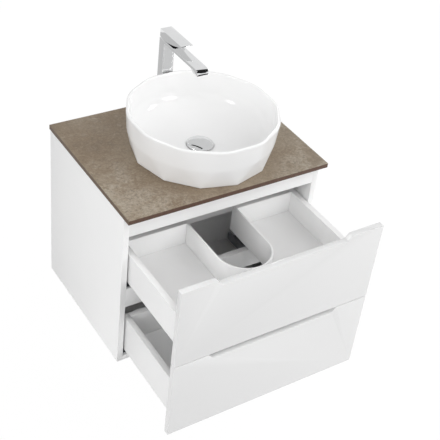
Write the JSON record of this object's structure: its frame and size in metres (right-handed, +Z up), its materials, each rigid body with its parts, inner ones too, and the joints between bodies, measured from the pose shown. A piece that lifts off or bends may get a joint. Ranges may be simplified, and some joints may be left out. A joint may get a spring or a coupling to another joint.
{
  "type": "vessel sink vanity",
  "caption": "Wall-hung white vanity with drawers on runners, stone-look worktop, faceted round vessel basin, push waste, bottle trap and tall single-lever tap.",
  "frame": {"origin": "middle of the hanging rail's back face, in the wall plane", "axes": "+X to the right seen from the front, +Y towards the wall, +Z up"},
  "size_m": [0.6, 0.745, 0.7611],
  "materials": {
    "worktop_stone": "honed brown-grey stone with soft lighter and darker clouds, dark brown edges",
    "white_board": "board faced with smooth white melamine, satin",
    "front_gloss": "board lacquered glossy white",
    "zinc_steel": "zinc-plated sheet steel",
    "screw_steel": "zinc-plated steel",
    "beech": "plain beech dowel",
    "glaze": "glossy white glaze",
    "chrome": "polished chrome plate",
    "seal_rubber": "black rubber",
    "brass": "plain machined brass",
    "trap_plastic": "white polypropylene, slightly glossy",
    "aerator_plastic": "grey moulded plastic"
  },
  "bodies": {
    "cabinet": {"worktop": "worktop_stone", "left_side_panel": "white_board", "right_side_panel": "white_board", "bottom_panel": "white_board", "top_front_rail": "white_board", "middle_front_rail": "white_board", "rear_hanging_rail": "white_board", "rear_bottom_rail": "white_board", "rear_ledge": "white_board", "worktop_brackets": "zinc_steel", "bracket_screws": "screw_steel", "upper_left_track": "zinc_steel", "upper_right_track": "zinc_steel", "lower_left_track": "zinc_steel", "lower_right_track": "zinc_steel", "basin": "glaze", "waste_body": "chrome", "waste_top_seal": "seal_rubber", "waste_under_seal": "seal_rubber", "waste_backnut": "brass", "trap_inlet_nut": "trap_plastic", "trap_inlet_pipe": "trap_plastic", "trap_bottle": "trap_plastic", "trap_cup": "trap_plastic", "trap_outlet_nut": "trap_plastic", "trap_outlet_pipe": "trap_plastic", "trap_wall_flange": "trap_plastic", "tap_body": "chrome", "tap_base_plate": "chrome", "tap_gasket": "seal_rubber", "tap_shank": "brass", "tap_washer": "seal_rubber", "tap_nut": "brass", "tap_aerator": "aerator_plastic", "tap_cartridge": "aerator_plastic", "tap_cartridge_nut": "brass"},
    "upper_drawer": {"upper_front": "front_gloss", "upper_left_side": "white_board", "upper_right_side": "white_board", "upper_left_back": "white_board", "upper_right_back": "white_board", "upper_floor": "white_board", "upper_bay_wall": "white_board", "upper_slides": "zinc_steel", "upper_front_dowels": "beech"},
    "lower_drawer": {"lower_front": "front_gloss", "lower_left_side": "white_board", "lower_right_side": "white_board", "lower_back": "white_board", "lower_floor": "white_board", "lower_slides": "zinc_steel", "lower_front_dowels": "beech"},
    "lever_swivel": {"lever_stem": "brass"},
    "lever_plate": {"lever": "chrome", "lever_pin": "screw_steel"},
    "plug": {"waste_plug": "chrome", "plug_stem": "brass"}
  },
  "joints": [
    {"name": "upper_drawer_slide", "type": "slide", "parent": "cabinet", "child": "upper_drawer", "axis": [0, -1, 0], "range_m": [-0.26, 0]},
    {"name": "lower_drawer_slide", "type": "slide", "parent": "cabinet", "child": "lower_drawer", "axis": [0, -1, 0], "range_m": [-0.26, 0]},
    {"name": "lever_turn", "type": "hinge", "parent": "cabinet", "child": "lever_swivel", "pos_m": [0.026, -0.04, 0.2839], "axis": [0, 0, 1], "range_deg": [-45, 45]},
    {"name": "lever_lift", "type": "hinge", "parent": "lever_swivel", "child": "lever_plate", "pos_m": [0.026, -0.04, 0.2839], "axis": [-1, 0, 0], "range_deg": [0, 20]},
    {"name": "plug_lift", "type": "slide", "parent": "cabinet", "child": "plug", "axis": [0, 0, 1], "range_m": [0, 0.008]}
  ]
}
